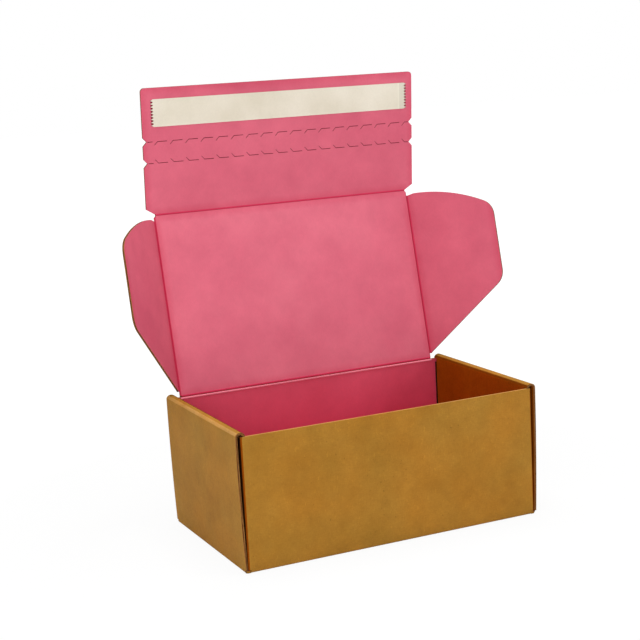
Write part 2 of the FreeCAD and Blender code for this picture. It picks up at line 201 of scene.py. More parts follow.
def kraft_material(name, dark, light, specular=0.15):
    """Brown paper: clouds, fibres, light scratches and dark specks."""
    g = Graph(name)
    place = g.mapped((1.0, 1.0, 1.0))
    cloud = g.noise(place, 34.0, 4.0, 0.55)
    tint = g.noise(place, 19.0, 3.0, 0.5)
    patch = g.noise(place, 110.0, 4.0, 0.6)
    fibre_a = g.noise(g.mapped((420.0, 420.0, 1900.0)), 1.0, 4.0, 0.65)
    fibre_b = g.noise(g.mapped((1800.0, 520.0, 420.0), rotation=(0.3, 0.55, 0.2)), 1.0, 4.0, 0.65)
    scratch = g.noise(g.mapped((900.0, 900.0, 260.0), rotation=(0.0, 0.9, 0.0)), 1.0, 2.0, 0.5)
    speck = g.noise(place, 460.0, 2.0, 0.5)
    colour = g.ramp(cloud, [(0.30, dark), (0.70, light)])
    cool_to_warm = g.ramp(tint, [(0.35, (0.98, 1.04, 1.18)), (0.65, (1.02, 0.96, 0.86))])
    colour = g.mix("MULTIPLY", 1.0, colour, cool_to_warm)
    colour = g.mix("MULTIPLY", 0.5, colour, g.grey(patch, 0.3, 0.7, 0.88, 1.10))
    colour = g.mix("MULTIPLY", 0.7, colour, g.grey(fibre_a, 0.3, 0.7, 0.86, 1.11))
    colour = g.mix("MULTIPLY", 0.7, colour, g.grey(fibre_b, 0.3, 0.72, 0.87, 1.10))
    colour = g.mix("MULTIPLY", 0.8, colour, g.grey(scratch, 0.63, 0.73, 1.0, 1.22))
    colour = g.mix("MULTIPLY", 0.8, colour, g.grey(speck, 0.22, 0.29, 0.55, 1.0))
    g.link(colour, g.shader.inputs["Base Color"])
    g.shader.inputs["Roughness"].default_value = 0.72
    g.shader.inputs["Specular IOR Level"].default_value = specular
    height = g.math("ADD", g.math("MULTIPLY", fibre_a, 0.8), g.math("MULTIPLY", patch, 1.2))
    g.bump(height, 0.35, 0.0003)
    return g.material


def pink_material(name, dark, light, shade_to_floor=None, halo=None):
    """The print. shade_to_floor: (low z, high z, tint at the low end): painted shade on the inside
    of the tray, darker towards its floor.
    halo: (middle u, half u, middle v, half v) of a panel whose print is deeper at its edges."""
    g = Graph(name)
    place = g.mapped((1.0, 1.0, 1.0))
    cloud = g.noise(place, 18.0, 4.0, 0.6)
    patch = g.noise(place, 60.0, 3.0, 0.55)
    fibre = g.noise(g.mapped((900.0, 500.0, 500.0)), 1.0, 3.0, 0.6)
    colour = g.ramp(cloud, [(0.3, dark), (0.7, light)])
    colour = g.mix("MULTIPLY", 0.6, colour, g.grey(patch, 0.3, 0.7, 0.93, 1.05))
    colour = g.mix("MULTIPLY", 0.5, colour, g.grey(fibre, 0.3, 0.7, 0.94, 1.04))
    if shade_to_floor:
        # Painted shade: the colour darkens towards the bottom.
        low, high, tint = shade_to_floor
        split = g.add("ShaderNodeSeparateXYZ")
        g.link(place, split.inputs[0])
        rise = g.math("DIVIDE", g.math("SUBTRACT", split.outputs[2], low), high - low)
        deeper = g.ramp(rise, [(0.0, tint), (1.0, WHITE)])
        colour = g.mix("MULTIPLY", 1.0, colour, deeper)
    if halo:
        flat = g.add("ShaderNodeSeparateXYZ")
        g.link(g.add("ShaderNodeUVMap", uv_map="UVMap").outputs[0], flat.inputs[0])
        inward = []
        for axis in (0, 1):
            middle, half = halo[2 * axis:2 * axis + 2]
            away = g.math("ABSOLUTE", g.math("SUBTRACT", flat.outputs[axis], middle))
            inward.append(g.math("SUBTRACT", half, away))
        depth = g.math("DIVIDE", g.math("MINIMUM", *inward), HALO)
        depth = g.math("ADD", depth, g.math("MULTIPLY", g.math("SUBTRACT", patch, 0.5), 0.8))
        deeper = g.ramp(depth, [(0.0, HALO_TINT), (1.0, WHITE)])
        colour = g.mix("MULTIPLY", 1.0, colour, deeper)
    g.link(colour, g.shader.inputs["Base Color"])
    g.shader.inputs["Roughness"].default_value = 0.6
    g.shader.inputs["Specular IOR Level"].default_value = 0.25
    height = g.math("ADD", g.math("MULTIPLY", fibre, 0.5), g.math("MULTIPLY", cloud, 2.0))
    g.bump(height, 0.2, 0.0003)
    return g.material


def edge_material(wave):
    """Cut board: two liners, and the flutes between them as a wave or as lines along them."""
    g = Graph("cut_edge_wave" if wave else "cut_edge_lines")
    coordinates = g.add("ShaderNodeUVMap", uv_map="UVMap")
    split = g.add("ShaderNodeSeparateXYZ")
    g.link(coordinates.outputs[0], split.inputs[0])
    along = split.outputs[0]
    across = split.outputs[1]
    pitch, height = (FLUTE_PITCH, 0.33) if wave else (FLUTE_DRIFT, 0.22)
    swing = g.math("SINE", g.math("MULTIPLY", along, 2 * math.pi / pitch))
    swing = g.math("MULTIPLY", swing, height)
    medium = g.math("ABSOLUTE", g.math("SUBTRACT", g.math("SUBTRACT", across, 0.5), swing))
    medium = g.grey(medium, 0.07, 0.14, 1.0, 0.0)
    liner = g.math("ABSOLUTE", g.math("SUBTRACT", across, 0.5))
    liner = g.grey(liner, 0.36, 0.41, 0.0, 1.0)
    paper = g.math("MAXIMUM", medium, liner)
    mottle = g.noise(g.mapped((1.0, 1.0, 1.0)), 300.0, 2.0, 0.6)
    light = g.ramp(mottle, [(0.3, (0.25, 0.103, 0.022)), (0.7, (0.37, 0.175, 0.050))])
    # Between the paper layers the flutes' hollows are painted dark: painted shade.
    colour = g.mix("MIX", paper, (0.07, 0.022, 0.006), light)
    g.link(colour, g.shader.inputs["Base Color"])
    g.shader.inputs["Roughness"].default_value = 0.9
    g.shader.inputs["Specular IOR Level"].default_value = 0.1
    return g.material


def plain(name, colour, rough, specular=0.2):
    g = Graph(name)
    g.shader.inputs["Base Color"].default_value = (*colour, 1.0)
    g.shader.inputs["Roughness"].default_value = rough
    g.shader.inputs["Specular IOR Level"].default_value = specular
    return g.material


KRAFT = kraft_material("kraft_liner", (0.310, 0.140, 0.0126), (0.372, 0.172, 0.0188))
# A darker copy of the kraft for the tray's inner end panels and the corner folds: painted shade.
KRAFT_PAINTED_SHADE = kraft_material("kraft_inside_painted_shade", (0.225, 0.046, 0.0006),
                              (0.270, 0.058, 0.0012), specular=0.03)
# A still darker kraft for the inner slope of the rolled rims: painted shade.
KRAFT_SHADED = kraft_material("kraft_rim_painted_shade", (0.130, 0.030, 0.0004),
                              (0.165, 0.039, 0.0008), specular=0.03)
# A lighter kraft for the shoulders of the rolled rims and the walls' top edges: a painted
# highlight.
KRAFT_HIGHLIGHT = kraft_material("kraft_painted_highlight", (0.42, 0.205, 0.045), (0.50, 0.255, 0.065))
# Near black kraft for the gaps between the layers at the corners: painted shade.
KRAFT_GAP_SHADE = plain("kraft_gap_painted_shade", (0.030, 0.011, 0.003), 0.95, 0.0)
# A lighter pink for the hinge ridge: a painted highlight.
PINK_RIDGE_HIGHLIGHT = pink_material("pink_ridge_painted_highlight", (0.80, 0.21, 0.28), (0.88, 0.25, 0.33))
PINK = pink_material("pink_lid", (0.64, 0.118, 0.182), (0.73, 0.160, 0.226),
                     halo=(0.0, LID_HALF, (LID_REACH - CREASE_EDGE) / 2,
                           (LID_REACH - CREASE_EDGE) / 2))
# The flaps' print is a darker copy of the lid's: painted shade.
PINK_FRONT = pink_material("pink_front_flap", (0.61, 0.101, 0.163), (0.70, 0.136, 0.202),
                           halo=(0.0, FLAP_HALF, FLAP_LONG / 2, FLAP_LONG / 2))
PINK_SIDE = pink_material("pink_side_flaps", (0.61, 0.101, 0.163), (0.70, 0.136, 0.202),
                          halo=(SIDE_REACH / 2, SIDE_REACH / 2, 70.0, 90.0))
# The print inside the tray is darker than the lid's, and darker still lower down: painted shade.
PINK_INSIDE_SHADED = pink_material("pink_inside_painted_shade", (0.66, 0.068, 0.124), (0.75, 0.092, 0.162),
                            shade_to_floor=(0.045, 0.098, (0.86, 0.58, 0.70)))
# Near black crimson for the floors of the knife cuts and the film under the liner's teeth: painted
# shade.
CUT_SHADE = plain("knife_cut_painted_shade", (0.20, 0.012, 0.030), 0.9, 0.05)
# Deep crimson for the lid's cut edges at the creases and the print side of the beads: painted shade
# in the creases.
PINK_CREASE_SHADE = plain("crease", (0.60, 0.040, 0.095), 0.9, 0.05)
LINES = edge_material(False)
WAVE = edge_material(True)


def board_look(print_side):
    """The materials of one board, in the order of the face kinds."""
    return (KRAFT, print_side, LINES, WAVE, CUT_SHADE, KRAFT_PAINTED_SHADE, PINK_RIDGE_HIGHLIGHT, KRAFT_HIGHLIGHT,
            KRAFT_GAP_SHADE, KRAFT_SHADED, PINK_CREASE_SHADE)


# Building sheets of board
class Board:
    """Thick sheets: an outside face, an inside face and cut edges, all in one mesh."""

    def __init__(self, thick=T):
        self.half = thick / 2
        self.points = []
        self.faces = []
        self.kinds = []
        self.uvs = []

    def point(self, where):
        self.points.append(tuple(c * MM for c in where))
        return len(self.points) - 1

    def face(self, corners, kind, uv):
        self.faces.append(corners)
        self.kinds.append(kind)
        self.uvs.append(uv)

    def sheet(self, flat, cells, fold, bare=(), edge_kind=None, inner_kind=IN, outer_kind=None,
              rim=()):
        """flat: 2-D points. cells: counter-clockwise polygons seen from outside.
        fold(u, v, w): the place of a point w above the middle of the board, + outside.
        bare: tests for border points between which no cut edge is made.
        edge_kind, inner_kind, outer_kind: what the faces are where the usual kinds don't do.
        rim: levels at which the cut edge is divided. Its first band then belongs to the outside."""
        outer = [self.point(fold(u, v, self.half)) for u, v in flat]
        inner = [self.point(fold(u, v, -self.half)) for u, v in flat]
        sides = {}
        for cell in cells:
            middle = [sum(flat[i][axis] for i in cell) / len(cell) for axis in (0, 1)]
            kind = outer_kind(*middle) if outer_kind else OUT
            self.face([outer[i] for i in cell], kind, [flat[i] for i in cell])
            self.face([inner[i] for i in reversed(cell)], inner_kind,
                      [flat[i] for i in reversed(cell)])
            for a, b in zip(cell, cell[1:] + cell[:1]):
                sides[(a, b)] = True
        for a, b in sides:
            if (b, a) in sides:
                continue
            (ua, va), (ub, vb) = flat[a], flat[b]
            if any(test(ua, va) and test(ub, vb) for test in bare):
                continue
            kind = EDGE_WAVE if abs(ub - ua) > abs(vb - va) else EDGE_LINES
            if edge_kind is not None:
                kind = edge_kind(ua, va, ub, vb, kind)
            start = ua if kind == EDGE_WAVE else va
            end = ub if kind == EDGE_WAVE else vb
            levels = [self.half, *rim, -self.half]
            rows = [[self.point(fold(*flat[k], level)) for level in levels] for k in (a, b)]
            for n in range(len(levels) - 1):
                high, low = (level / self.half / 2 + 0.5 for level in levels[n:n + 2])
                self.face([rows[1][n], rows[0][n], rows[0][n + 1], rows[1][n + 1]],
                          OUT if rim and n == 0 else kind,
                          [(end, high), (start, high), (start, low), (end, low)])

    def grid(self, us, vs, fold, keep=None, bare=(), swap=False, edge_kind=None, inner_kind=IN,
             outer_kind=None):
        """A folded panel of squares, those whose middles keep() accepts. swap turns it over."""
        flat = [(u, v) for v in vs for u in us]
        wide = len(us)
        cells = []
        for j in range(len(vs) - 1):
            for i in range(wide - 1):
                middle = ((us[i] + us[i + 1]) / 2, (vs[j] + vs[j + 1]) / 2)
                if keep is not None and not keep(*middle):
                    continue
                cell = [j * wide + i, j * wide + i + 1, (j + 1) * wide + i + 1, (j + 1) * wide + i]
                cells.append(cell[::-1] if swap else cell)
        self.sheet(flat, cells, fold, bare, edge_kind, inner_kind, outer_kind)

    def outline(self, loops, fold, step=MESH_STEP, swap=False, bare=(), edge_kind=None,
                inner_kind=IN, rim=()):
        """A flat panel of any outline: loops[0] outside, the others are holes."""
        points = []
        edges = []
        for loop in loops:
            first = len(points)
            dense = []
            for a, b in zip(loop, loop[1:] + loop[:1]):
                count = max(1, round(math.dist(a, b) / step))
                for k in range(count):
                    dense.append((a[0] + (b[0] - a[0]) * k / count,
                                  a[1] + (b[1] - a[1]) * k / count))
            points += dense
            edges += [(first + k, first + (k + 1) % len(dense)) for k in range(len(dense))]
        border = list(points)
        xs = [p[0] for p in loops[0]]
        ys = [p[1] for p in loops[0]]
        across = spread(min(xs), (max(xs), max(1, round((max(xs) - min(xs)) / step))))
        along = spread(min(ys), (max(ys), max(1, round((max(ys) - min(ys)) / step))))
        for x in across[1:-1]:
            for y in along[1:-1]:
                room = min(math.dist((x, y), other) for other in border)
                if inside((x, y), loops) and room > step * 0.45:
                    points.append((x, y))
        result = delaunay_2d_cdt([Vector(p) for p in points], edges, [], 0, 1e-7)
        flat = [tuple(p) for p in result[0]]
        cells = []
        for triangle in result[2]:
            centre = (sum(flat[k][0] for k in triangle) / 3, sum(flat[k][1] for k in triangle) / 3)
            if not inside(centre, loops):
                continue
            a, b, c = (flat[k] for k in triangle)
            turn = (b[0] - a[0]) * (c[1] - a[1]) - (b[1] - a[1]) * (c[0] - a[0])
            if abs(turn) < 1e-9:
                continue
            triangle = list(triangle) if turn > 0 else list(triangle)[::-1]
            cells.append(triangle[::-1] if swap else triangle)
        self.sheet(flat, cells, fold, bare, edge_kind, inner_kind, None, rim)

    def strip(self, rows, kind):
        """Quads between rows of points."""
        made = [[self.point(p) for p in row] for row in rows]
        for low, high in zip(made, made[1:]):
            for i in range(len(low) - 1):
                self.face([low[i], low[i + 1], high[i + 1], high[i]], kind, [MID_PANEL] * 4)

    def close_ends(self, rows, kind):
        """A face across each end of a run of rows."""
        for end, turn in ((0, 1), (-1, -1)):
            cap = [self.point(row[end]) for row in rows][::turn]
            self.face(cap, kind, [(0.0, k / (len(cap) - 1)) for k in range(len(cap))])

    def bead(self, fold, u0, u1, steps=8, swap=False, inner_kind=IN):
        """The round edge of a panel that turns on a crease along v = 0, pressed a little proud."""
        lead = math.degrees(math.acos(self.half / BEAD))
        profile = arc_points(0.0, 0.0, BEAD, 90.0 - lead, 270.0 + lead, 2 * steps)
        rows = crease_rows(fold, u0, u1, profile)
        if swap:
            rows = [row[::-1] for row in rows]
        printed_from = round(1.25 * steps)
        self.strip(rows[:printed_from + 1], OUT)
        self.strip(rows[printed_from:], inner_kind)
        self.close_ends(rows, EDGE_LINES)

    def cover(self, fold, u0, u1):
        """The outside liner's ridge over a crease along v = 0. It hides the print in the slit
        from outside, and the panel's bead turns clear of it."""
        profile = [(COVER_START, T / 2 - 0.01)]
        for radius, turns in ((COVER_TOP, COVER_ARC), (COVER_UNDER, COVER_ARC[::-1])):
            for turn in turns:
                a = math.radians(turn)
                profile.append((radius * math.cos(a), radius * math.sin(a)))
        profile.append((COVER_START, T / 2 - 0.2))
        rows = crease_rows(fold, u0, u1, profile)
        self.strip(rows + rows[:1], OUT)
        self.close_ends(rows, OUT)

    def build(self, name, body, nodes, materials, merge=True):
        """Make the piece and say what it rides on, replaces and shows."""
        mesh = bpy.data.meshes.new(name)
        mesh.from_pydata(self.points, [], self.faces)
        for material in materials:
            mesh.materials.append(material)
        for polygon, kind in zip(mesh.polygons, self.kinds):
            polygon.material_index = kind
        layer = mesh.uv_layers.new(name="UVMap")
        for polygon, uv in zip(mesh.polygons, self.uvs):
            for loop, pair in zip(polygon.loop_indices, uv):
                layer.data[loop].uv = pair
        piece = bpy.data.objects.new(name, mesh)
        bpy.context.scene.collection.objects.link(piece)
        if merge:
            work = bmesh.new()
            work.from_mesh(mesh)
            bmesh.ops.remove_doubles(work, verts=work.verts, dist=2e-6)
            work.to_mesh(mesh)
            work.free()
        mesh.shade_smooth()
        mesh.set_sharp_from_angle(angle=math.radians(32))
        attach(piece, body)
        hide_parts(*nodes)
        return piece


def crease_rows(fold, u0, u1, profile):
    """Rows of points along a crease, one for each (v, w) of the profile."""
    places = spread(u0, (u1, max(1, round(abs(u1 - u0) / MESH_STEP))))
    return [[fold(u, v, w) for u in places] for v, w in profile]


def inside(point, loops):
    """Whether a point lies within the outer loop and outside the holes."""
    x, y = point
    hits = 0
    for loop in loops:
        for (x0, y0), (x1, y1) in zip(loop, loop[1:] + loop[:1]):
            if (y0 > y) != (y1 > y) and x < x0 + (y - y0) / (y1 - y0) * (x1 - x0):
                hits += 1
    return hits % 2 == 1


def spread(*stops):
    """Numbers along a line: the start, then (end, count), (next end, count) and so on."""
    values = [stops[0]]
    for end, count in stops[1:]:
        start = values[-1]
        values += [start + (end - start) * (k + 1) / count for k in range(count)]
    return values


def arc_points(cx, cy, radius, start, end, count):
    """Points round a centre from one angle to another, in degrees."""
    return [(cx + radius * math.cos(math.radians(start + (end - start) * k / count)),
             cy + radius * math.sin(math.radians(start + (end - start) * k / count)))
            for k in range(count + 1)]


# A path in a plane for the middle of the board: straight runs joined by round folds.
class Path:
    """It gives places along the board and beside its middle, for folding a flat sheet."""

    def __init__(self, start, heading, runs):
        """runs: ("line", length) or ("arc", radius, degrees); + turns left."""
        self.parts = []
        x, y = start
        angle = math.radians(heading)
        at = 0.0
        for run in runs:
            if run[0] == "line":
                self.parts.append((at, at + run[1], "line", x, y, angle, 0.0))
                x += run[1] * math.cos(angle)
                y += run[1] * math.sin(angle)
                at += run[1]
            else:
                radius, turn = run[1], math.radians(run[2])
                length = abs(turn) * radius
                side = 1.0 if turn > 0 else -1.0
                self.parts.append((at, at + length, "arc", x, y, angle, side * radius))
                cx = x - side * radius * math.sin(angle)
                cy = y + side * radius * math.cos(angle)
                angle += turn
                x = cx + side * radius * math.sin(angle)
                y = cy - side * radius * math.cos(angle)
                at += length
        self.length = at

    def at(self, s, w):
        """Place s along the path and w to its right."""
        for start, end, kind, x, y, angle, radius in self.parts:
            if s <= end + 1e-9 or (start, end) == (self.parts[-1][0], self.parts[-1][1]):
                t = s - start
                if kind == "line":
                    px, py, a = x + t * math.cos(angle), y + t * math.sin(angle), angle
                else:
                    a = angle + t / radius
                    px = x - radius * math.sin(angle) + radius * math.sin(a)
                    py = y + radius * math.cos(angle) - radius * math.cos(a)
                return px + w * math.sin(a), py - w * math.cos(a)
        raise ValueError(s)

    def stations(self, line_step=12.0, arc_step=15.0):
        values = [0.0]
        for start, end, kind, _x, _y, _a, radius in self.parts:
            if kind == "line":
                count = max(1, round((end - start) / line_step))
            else:
                count = max(2, round(math.degrees((end - start) / abs(radius)) / arc_step))
            values += [start + (end - start) * (k + 1) / count for k in range(count)]
        return values


# Tray
def lean(z):
    """How far an outer end panel stands out of true at height z."""
    t = min(max(z / WALL, 0.0), 1.0)
    return LEAN_FOOT + LEAN_MORE * (1.0 - (1.0 - t) ** 2)


tray = Board()


def bow(x):
    """How far a long wall bows outwards at its top."""
    return BOW * math.cos(x / WALL_HALF * math.pi / 2)


# The long walls run down the outside to the floor: a path in (y, z), outside to its right.
def add_wall(side, height):
    path = Path((-HALF_W + T / 2, height), -90.0,
                [("line", height - BEND), ("arc", MID, 90.0)])

    def fold(u, v, w):
        y, z = path.at(v, w)
        return u, (y - bow(u) * min(max((z - 5) / 60, 0), 1)) * -side, z

    # The top cut edge is print on the back wall within the lid's span, elsewhere a lighter painted
    # highlight.
    def top_kind(ua, va, ub, vb, kind):
        if va > SAME:
            return kind
        return IN if side > 0 and abs(ua + ub) / 2 < LID_HALF else HIGHLIGHT

    xs = spread(-WALL_HALF, (WALL_HALF, 36))
    tray.grid(xs, path.stations(), fold, swap=side < 0,
              bare=[lambda u, v: abs(abs(u) - WALL_HALF) < SAME and v < height - FOLD_START,
                    lambda u, v: abs(v - path.length) < SAME],
              edge_kind=top_kind)


add_wall(-1, WALL)
add_wall(1, BACK_WALL)

# The hinge crease stands up in a ridge along the back wall's inner edge. Its lighter pink is a
# painted highlight.
ridge = arc_points(HALF_W - T + 0.1, BACK_WALL - RIDGE - 0.05, RIDGE, 90.0, 270.0, 8)
tray.strip([[(x, y + bow(x), z) for x in spread(LID_HALF, (-LID_HALF, 36))] for y, z in ridge],
           RIDGE_HIGHLIGHT)

# A strip of dark painted shade in the gap at each back corner, between the wall and the rolled end.
for side in (-1, 1):
    tray.strip([[(side * x, HALF_W - T - 0.1, z) for z in (T + 0.4, BACK_WALL - 3.0)][::side]
                for x in (INNER_FACE - 0.1, WALL_HALF - 0.2)], GAP_SHADE)


# Floor, with the slots for the locking tabs.
def beside_slots(u, v):
    return not (SLOT_IN < abs(u) < SLOT_OUT and SLOT_NEAR < abs(v) < SLOT_FAR)


floor_us = spread(-FLOOR_X, (-SLOT_OUT, 1), (-WALL_HALF, 1), (-SLOT_IN, 1), (SLOT_IN, 20),
                  (WALL_HALF, 1), (SLOT_OUT, 1), (FLOOR_X, 1))
floor_vs = spread(-FLOOR_Y, (-SLOT_FAR, 2), (-SLOT_NEAR, 3), (SLOT_NEAR, 4), (SLOT_FAR, 3),
                  (FLOOR_Y, 2))
tray.grid(floor_us, floor_vs, lambda u, v, w: (u, v, T / 2 - w), swap=True, keep=beside_slots,
          bare=[lambda u, v: abs(abs(v) - FLOOR_Y) < SAME and abs(u) < WALL_HALF + SAME,
                lambda u, v: abs(abs(u) - FLOOR_X) < SAME])

# The floor's four corners run on under the folds of the walls.
PATCH_IN = 1.2
PATCH_ROUND = 1.7
for side in (-1, 1):
    for end in (-1, 1):
        corner = [(WALL_HALF, FLOOR_Y), (WALL_HALF, HALF_W - PATCH_IN)]
        corner += arc_points(HALF_L - PATCH_IN - PATCH_ROUND, HALF_W - PATCH_IN - PATCH_ROUND,
                             PATCH_ROUND, 90.0, 0.0, 5)
        corner += [(HALF_L - PATCH_IN, FLOOR_Y)]
        tray.sheet(corner, [list(range(len(corner)))],
                   lambda u, v, w, side=side, end=end: (side * u, end * v, T / 2 - w),
                   edge_kind=lambda *_: OUT)

# End walls: out over the floor's edge, up, over the rolled rim and down inside, with tabs below.
RIM_MID = END_THICK / 2 - T / 2
END_PATH = Path((FLOOR_X, T / 2), 0.0,
                [("arc", MID, 90.0), ("line", RIM_Z - BEND), ("arc", RIM_MID, 180.0),
                 ("line", RIM_Z - T - FLOOR_GAP), ("line", T + FLOOR_GAP - TAB_TIP)])
S_UP = END_PATH.parts[0][1]
S_WIDE = S_UP + 0.2
S_RIM = END_PATH.parts[1][1]
S_IN = END_PATH.parts[2][1]
S_LOW = END_PATH.parts[3][1]


def end_shift(s, z):
    """How far the end wall stands out of true, s along its path."""
    if s < S_UP:
        return -FOLD_IN * s / S_UP
    if s <= S_RIM:
        return lean(z)
    if s < S_IN:
        t = (s - S_RIM) / (S_IN - S_RIM)
        return lean(RIM_Z) * (1 - t * t * (3 - 2 * t))
    return 0.0


def end_keep(u, v):
    """The end wall's outline: narrow fold, full panel, inner panel and two tabs."""
    if v < S_WIDE:
        return abs(u) < FLOOR_Y
    if v < S_IN:
        return True
    if v < S_LOW:
        return abs(u) < INNER_EDGE
    return TAB_NEAR < abs(u) < TAB_FAR


# How far round the rolled rim its band of painted highlight starts and ends, and where its painted
# shade starts and ends.
RIM_BANDS = {-1: (0.12, 0.30, 0.55, 1.0), 1: (0.12, 0.30, 0.75, 0.92)}


def add_end(side):
    def rim_kind(u, v):
        t = (v - S_RIM) / (S_IN - S_RIM)
        highlight_from, highlight_to, shade_from, shade_to = RIM_BANDS[side]
        if highlight_from < t < highlight_to:
            return HIGHLIGHT
        if t > shade_from:
            return SHADED if t < shade_to else PAINTED_SHADE
        return OUT

    def fold(u, v, w):
        x, z = END_PATH.at(v, w)
        return side * (x + end_shift(v, z)), u, z

    us = spread(-END_EDGE, (-FLOOR_Y, 1), (-INNER_EDGE, 1), (-TAB_FAR, 2), (-TAB_NEAR, 3),
                (TAB_NEAR, 4), (TAB_FAR, 3), (INNER_EDGE, 2), (FLOOR_Y, 1), (END_EDGE, 1))
    vs = sorted(set(END_PATH.stations(8.0, 15.0) + [S_WIDE]))
    # The inner panel and the inner end of the rim are in the darker kraft of painted shade.
    tray.grid(us, vs, fold, keep=end_keep, swap=side < 0,
              bare=[lambda u, v: abs(v) < SAME], inner_kind=PAINTED_SHADE,
              outer_kind=rim_kind)


# Corner flaps: round the wall's end and back between the layers of the end wall.
CORNER_PATH = Path((WALL_HALF, -HALF_W + T / 2), 0.0,
                   [("arc", MID, 90.0), ("line", CORNER_REACH)])


def corner_kind(u, v):
    """The corner flap's colour turns from the wall's kraft to painted shade round its fold, and to
    dark painted shade in the gap between the layers.
    """
    t = u / CORNER_PATH.parts[0][1]
    if t > 0.6:
        return GAP_SHADE
    return PAINTED_SHADE if t > 0.3 else OUT


def add_corner(side, end):
    def fold(u, v, w):
        x, y = CORNER_PATH.at(u, w)
        return side * x, -end * y, v

    tray.grid(CORNER_PATH.stations(12.0, 11.25), spread(FOLD_START, (WALL, 8)), fold,
              swap=side * end > 0, bare=[lambda u, v: abs(u) < SAME], inner_kind=GAP_SHADE,
              outer_kind=corner_kind)


for side in (-1, 1):
    add_end(side)
    for end in (-1, 1):
        add_corner(side, end)
tray.build("tray_board", "tray", ["tray"], board_look(PINK_INSIDE_SHADED))


# Lid and flaps
LID_PLACE = Matrix.Translation((0.0, HINGE_Y, HINGE_Z)) @ Matrix.Rotation(-LID_OPEN, 4, "X")
FRONT_PLACE = (LID_PLACE @ Matrix.Translation((0.0, -LID_REACH, 0.0))
               @ Matrix.Rotation(FRONT_FOLD, 4, "X"))


def flap_place(side):
    return (LID_PLACE @ Matrix.Translation((side * SIDE_CREASE, 0.0, 0.0))
            @ Matrix.Rotation(side * SIDE_FOLD, 4, "Y"))


def lid_point(u, v, w):
    return LID_PLACE @ Vector((u, -v, w))


def front_point(u, v, w):
    return FRONT_PLACE @ Vector((u, -v, w))


def lid_fold(u, v, w):
    """The lid's edges at the side creases are pressed back below PRESS_TOP."""
    if abs(u) > LID_HALF - SAME and w < PRESS_TOP:
        u -= math.copysign(PRESS * (PRESS_TOP - w) / (PRESS_TOP + T / 2), u)
    return lid_point(u, v, w)


lid = Board()
LID_END = LID_REACH - CREASE_EDGE
LID_FRONT = LID_HALF - LID_CLIP
# The lid's cut edges and the print side of its bead are deep crimson: painted shade in the creases.
lid.outline([[(-LID_HALF, 0.0), (LID_HALF, 0.0), (LID_HALF, LID_END - LID_CLIP),
              (LID_FRONT, LID_END), (-LID_FRONT, LID_END), (-LID_HALF, LID_END - LID_CLIP)]],
            lid_fold, swap=True, bare=[lambda u, v: abs(v) < SAME],
            edge_kind=lambda *_: CREASE_SHADED, rim=[PRESS_TOP])
lid.bead(lid_fold, -LID_HALF, LID_HALF, swap=True, inner_kind=CREASE_SHADED)

# The side flaps. Their front end is struck about the hinge, so it clears the front wall.
SWEEP_ROOM = 0.7
SWEEP = HINGE_Y + HALF_W - T - SWEEP_ROOM
SWEEP_ROUND = 14.0
SLANT_RUN = 52.0
SLANT_ROUND = 14.0
SLOPE = SIDE_REACH / SLANT_RUN
START = 3.4
HEEL = 6.0
CREASE_STOP = 1.0


def side_outline():
    """A side flap's outline: (away from its crease, away from the hinge)."""
    slant = math.hypot(1.0, SLOPE)
    tangent = SLANT_ROUND * (slant - 1.0) / SLOPE
    slant_turn = math.degrees(math.atan(SLOPE))
    round_x = SIDE_REACH - SWEEP_ROUND
    round_y = math.sqrt((SWEEP - SWEEP_ROUND) ** 2 - round_x ** 2)
    sweep_from = math.degrees(math.atan2(round_y, round_x))
    sweep_to = 90.0 - math.degrees(math.asin(HEEL / SWEEP))
    points = [(0.0, START)]
    points += arc_points(SIDE_REACH - SLANT_ROUND, START + SLANT_RUN + tangent, SLANT_ROUND,
                         -slant_turn, 0.0, 10)
    points += arc_points(round_x, round_y, SWEEP_ROUND, 0.0, sweep_from, 12)
    points += arc_points(0.0, 0.0, SWEEP, sweep_from, sweep_to, 12)[1:]
    points.append((0.0, points[-1][1] - CREASE_STOP))
    return points


CREASE_END = side_outline()[-1][1]
for side in (-1, 1):
    lid.cover(lambda u, v, w, side=side: lid_point(side * (SIDE_CREASE - v), u, w),
              *(START, CREASE_END)[::side])
lid.cover(lambda u, v, w: lid_point(u, LID_REACH - v, w), LID_FRONT, -LID_FRONT)
lid.build("lid_board", "lid", ["lid_panel"], board_look(PINK))

for name, side in (("left", -1), ("right", 1)):
    place = flap_place(side)
    flap = Board()

    def flap_fold(u, v, w, place=place, side=side):
        return place @ Vector((side * u, -v, w))

    flap.outline([side_outline()], flap_fold, swap=side > 0, bare=[lambda u, v: abs(u) < SAME])
    # The print side of the flap's bead is deep crimson: painted shade in the crease.
    flap.bead(lambda u, v, w: flap_fold(v, u, w), START, CREASE_END, swap=side < 0,
              inner_kind=CREASE_SHADED)
    flap.build(name + "_flap_board", name + "_flap", [name + "_lid_flap"],
               board_look(PINK_SIDE))

# The front flap, with its two tear lines between starter notches.
LOWER_LINE = 39.8
UPPER_LINE = 56.2
SHOULDER = 4.5
FLAP_ROUND = 3.0
NOTCH_DEEP = 3.0
NOTCH_HALF = 3.2
NOTCH_FLOOR = FLAP_HALF - NOTCH_DEEP
FIRST_CUT = 6.0
CUTS = 18
CUT_BRIDGE = 2.1
TAIL = 2.7
SLIT = 0.5
PITCH = NOTCH_FLOOR * 2 / CUTS
FLAT = PITCH - TAIL - CUT_BRIDGE
FIRST = -NOTCH_FLOOR + FIRST_CUT
CUT_FLOOR = 0.35


